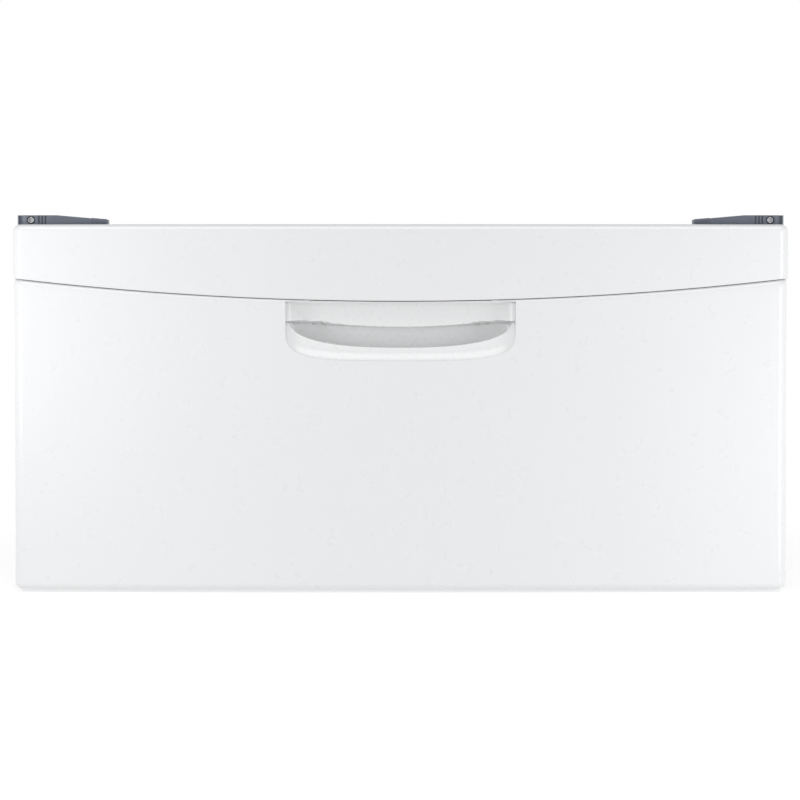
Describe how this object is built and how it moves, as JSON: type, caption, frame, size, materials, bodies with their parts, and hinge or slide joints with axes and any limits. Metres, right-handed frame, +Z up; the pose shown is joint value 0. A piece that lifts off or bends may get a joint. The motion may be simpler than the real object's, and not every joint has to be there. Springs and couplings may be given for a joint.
{
  "type": "laundry pedestal",
  "caption": "Low white steel laundry pedestal with one wide drawer under an arched band, a recessed pull, foot holders on top and levelling feet, for a front-load washer.",
  "frame": {"origin": "centre of the bounding box's bottom face, on the floor", "axes": "+X to the right seen from the front, the front faces -Y, +Z up"},
  "size_m": [0.686, 0.706, 0.334],
  "materials": {
    "enamel": "glossy white baked enamel on pressed sheet steel",
    "moulded_white": "white moulding, satin gloss",
    "inner_paint": "white primer paint, satin",
    "galvanised": "galvanised sheet steel with a soft spangle",
    "slide_steel": "zinc plated roll-formed steel",
    "bright_steel": "bright stamped cage with polished balls",
    "holder_plastic": "blue-grey glass-filled moulding, satin",
    "zinc": "zinc plated fastener",
    "rubber": "black rubber, matt"
  },
  "bodies": {
    "cabinet": {"front_band": "enamel", "side_panel_left": "enamel", "side_panel_right": "enamel", "top_deck": "enamel", "back_panel": "galvanised", "base_rail_front": "galvanised", "base_rail_rear": "galvanised", "base_rail_left": "galvanised", "base_rail_right": "galvanised", "top_rail_front": "galvanised", "top_rail_rear": "galvanised", "corner_post_front_left": "galvanised", "corner_post_front_right": "galvanised", "corner_post_rear_left": "galvanised", "corner_post_rear_right": "galvanised", "slide_outer_left": "slide_steel", "slide_outer_right": "slide_steel", "bumper_left": "rubber", "bumper_right": "rubber", "foot_holder_front_left": "holder_plastic", "foot_holder_front_right": "holder_plastic", "foot_holder_rear_left": "holder_plastic", "foot_holder_rear_right": "holder_plastic", "holder_bolt_front_left": "zinc", "holder_bolt_front_right": "zinc", "holder_bolt_rear_left": "zinc", "holder_bolt_rear_right": "zinc", "weld_nut_front_left": "zinc", "weld_nut_front_right": "zinc", "weld_nut_rear_left": "zinc", "weld_nut_rear_right": "zinc"},
    "drawer": {"drawer_front_skin": "enamel", "handle_cup": "moulded_white", "drawer_front_liner": "inner_paint", "drawer_side_left": "galvanised", "drawer_side_right": "galvanised", "drawer_floor": "galvanised", "drawer_back": "galvanised", "drawer_screw_lower_left": "zinc", "drawer_screw_upper_left": "zinc", "drawer_screw_lower_right": "zinc", "drawer_screw_upper_right": "zinc", "slide_inner_left": "slide_steel", "slide_inner_right": "slide_steel"},
    "middle_member_left": {"slide_middle_left": "slide_steel"},
    "outer_cage_left": {"ball_cage_outer_left": "bright_steel"},
    "inner_cage_left": {"ball_cage_inner_left": "bright_steel"},
    "middle_member_right": {"slide_middle_right": "slide_steel"},
    "outer_cage_right": {"ball_cage_outer_right": "bright_steel"},
    "inner_cage_right": {"ball_cage_inner_right": "bright_steel"},
    "foot_front_left": {"foot_pad_front_left": "rubber"},
    "stud_front_left": {"foot_stud_front_left": "zinc"},
    "foot_front_right": {"foot_pad_front_right": "rubber"},
    "stud_front_right": {"foot_stud_front_right": "zinc"},
    "foot_rear_left": {"foot_pad_rear_left": "rubber"},
    "stud_rear_left": {"foot_stud_rear_left": "zinc"},
    "foot_rear_right": {"foot_pad_rear_right": "rubber"},
    "stud_rear_right": {"foot_stud_rear_right": "zinc"}
  },
  "joints": [
    {"name": "drawer_slide", "type": "slide", "parent": "cabinet", "child": "drawer", "axis": [0, -1, 0], "range_m": [0, 0.48]},
    {"name": "middle_member_left_slide", "type": "slide", "parent": "cabinet", "child": "middle_member_left", "axis": [0, -1, 0], "range_m": [0, 0.24]},
    {"name": "outer_cage_left_slide", "type": "slide", "parent": "cabinet", "child": "outer_cage_left", "axis": [0, -1, 0], "range_m": [0, 0.12]},
    {"name": "inner_cage_left_slide", "type": "slide", "parent": "middle_member_left", "child": "inner_cage_left", "axis": [0, -1, 0], "range_m": [0, 0.12]},
    {"name": "middle_member_right_slide", "type": "slide", "parent": "cabinet", "child": "middle_member_right", "axis": [0, -1, 0], "range_m": [0, 0.24]},
    {"name": "outer_cage_right_slide", "type": "slide", "parent": "cabinet", "child": "outer_cage_right", "axis": [0, -1, 0], "range_m": [0, 0.12]},
    {"name": "inner_cage_right_slide", "type": "slide", "parent": "middle_member_right", "child": "inner_cage_right", "axis": [0, -1, 0], "range_m": [0, 0.12]},
    {"name": "foot_front_left_lift", "type": "slide", "parent": "cabinet", "child": "foot_front_left", "axis": [0, 0, -1], "range_m": [0, 0.012]},
    {"name": "stud_front_left_turn", "type": "hinge", "parent": "foot_front_left", "child": "stud_front_left", "pos_m": [-0.29, -0.2777, 0.02], "axis": [0, 0, -1], "range_deg": [0, 2881]},
    {"name": "foot_front_right_lift", "type": "slide", "parent": "cabinet", "child": "foot_front_right", "axis": [0, 0, -1], "range_m": [0, 0.012]},
    {"name": "stud_front_right_turn", "type": "hinge", "parent": "foot_front_right", "child": "stud_front_right", "pos_m": [0.29, -0.2777, 0.02], "axis": [0, 0, -1], "range_deg": [0, 2881]},
    {"name": "foot_rear_left_lift", "type": "slide", "parent": "cabinet", "child": "foot_rear_left", "axis": [0, 0, -1], "range_m": [0, 0.012]},
    {"name": "stud_rear_left_turn", "type": "hinge", "parent": "foot_rear_left", "child": "stud_rear_left", "pos_m": [-0.29, 0.3204, 0.02], "axis": [0, 0, -1], "range_deg": [0, 2881]},
    {"name": "foot_rear_right_lift", "type": "slide", "parent": "cabinet", "child": "foot_rear_right", "axis": [0, 0, -1], "range_m": [0, 0.012]},
    {"name": "stud_rear_right_turn", "type": "hinge", "parent": "foot_rear_right", "child": "stud_rear_right", "pos_m": [0.29, 0.3204, 0.02], "axis": [0, 0, -1], "range_deg": [0, 2881]}
  ],
  "couplings": [
    {"joint": "middle_member_left_slide", "follows": "drawer_slide", "ratio": 0.5},
    {"joint": "outer_cage_left_slide", "follows": "drawer_slide", "ratio": 0.25},
    {"joint": "inner_cage_left_slide", "follows": "drawer_slide", "ratio": 0.25},
    {"joint": "middle_member_right_slide", "follows": "drawer_slide", "ratio": 0.5},
    {"joint": "outer_cage_right_slide", "follows": "drawer_slide", "ratio": 0.25},
    {"joint": "inner_cage_right_slide", "follows": "drawer_slide", "ratio": 0.25},
    {"joint": "stud_front_left_turn", "follows": "foot_front_left_lift", "rad_per_m": 4188.8},
    {"joint": "stud_front_right_turn", "follows": "foot_front_right_lift", "rad_per_m": 4188.8},
    {"joint": "stud_rear_left_turn", "follows": "foot_rear_left_lift", "rad_per_m": 4188.8},
    {"joint": "stud_rear_right_turn", "follows": "foot_rear_right_lift", "rad_per_m": 4188.8}
  ]
}
